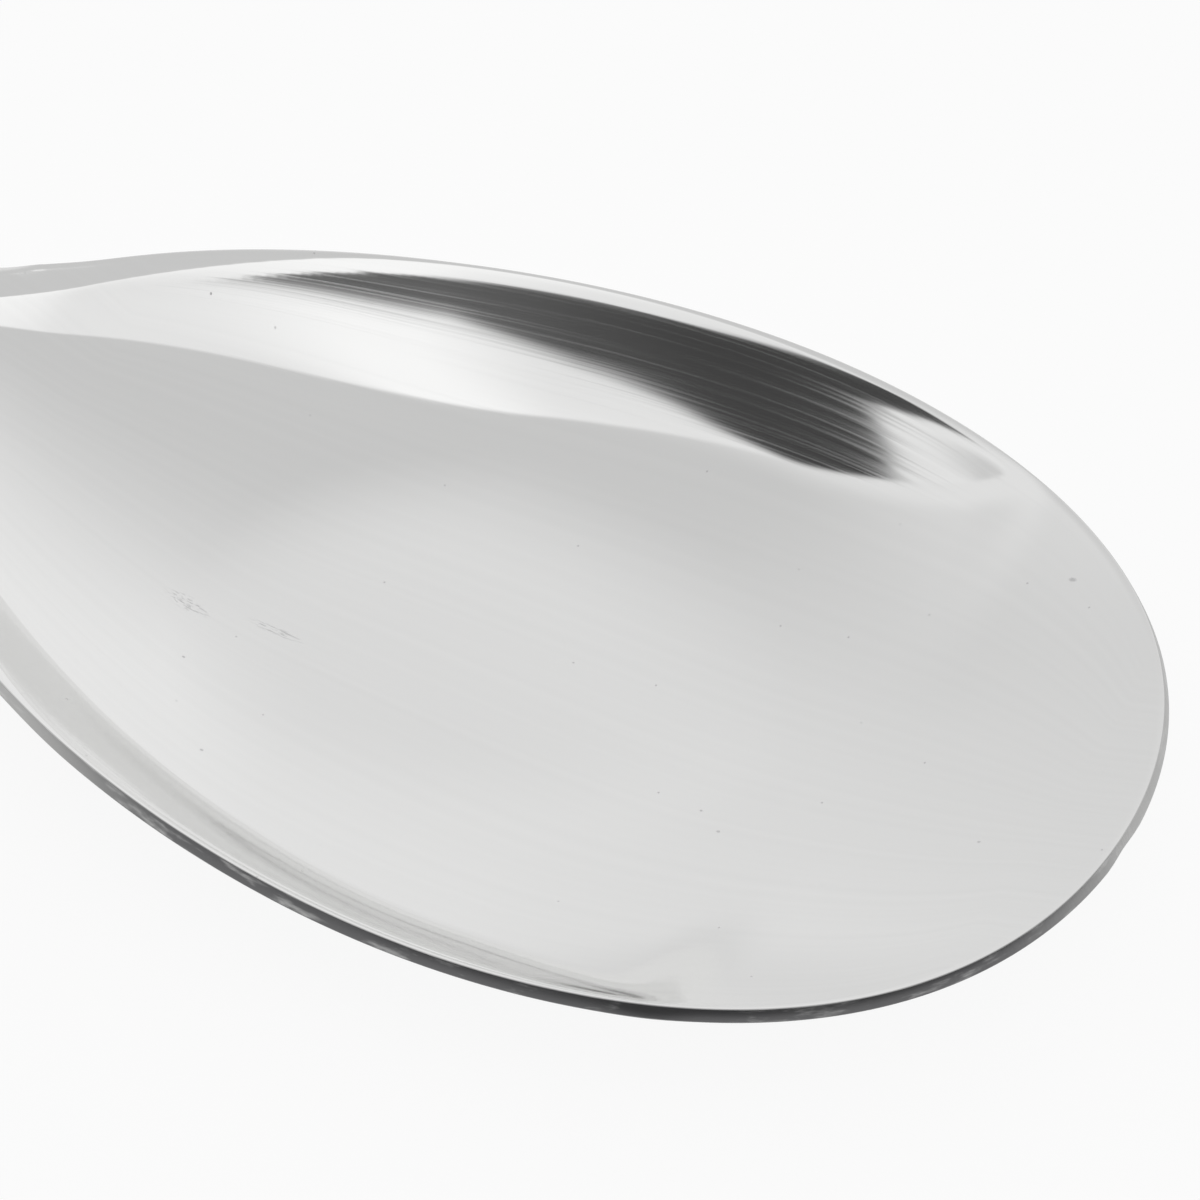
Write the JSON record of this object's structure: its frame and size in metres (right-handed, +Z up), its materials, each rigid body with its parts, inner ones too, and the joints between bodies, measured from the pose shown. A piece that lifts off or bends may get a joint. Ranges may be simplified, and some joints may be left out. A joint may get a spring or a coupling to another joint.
{
  "type": "serving spoon",
  "caption": "Stamped steel serving spoon: egg-shaped bowl with a flat floor and flared lip, arched gutter neck, full tang between riveted black grip scales, eyelet for hanging.",
  "frame": {"origin": "middle of the flat under the bowl, on the table plane", "axes": "+X along the spoon towards the tip of the bowl, +Z up out of the bowl, Y across"},
  "size_m": [0.3195, 0.0694, 0.0297],
  "materials": {
    "steel_sheet": "stainless sheet, fine lengthwise polishing marks, dull cut edge",
    "grip_moulding": "black moulded resin with a soft sheen",
    "rivet_steel": "polished stainless rivet heads",
    "eyelet_steel": "polished stainless eyelet"
  },
  "bodies": {
    "root": {"spoon_blank": "steel_sheet", "upper_scale": "grip_moulding", "lower_scale": "grip_moulding", "rivet_cup_front": "rivet_steel", "rivet_cup_middle": "rivet_steel", "rivet_cup_rear": "rivet_steel", "rivet_pin_front": "rivet_steel", "rivet_pin_middle": "rivet_steel", "rivet_pin_rear": "rivet_steel", "hanging_eyelet": "eyelet_steel"}
  },
  "joints": []
}
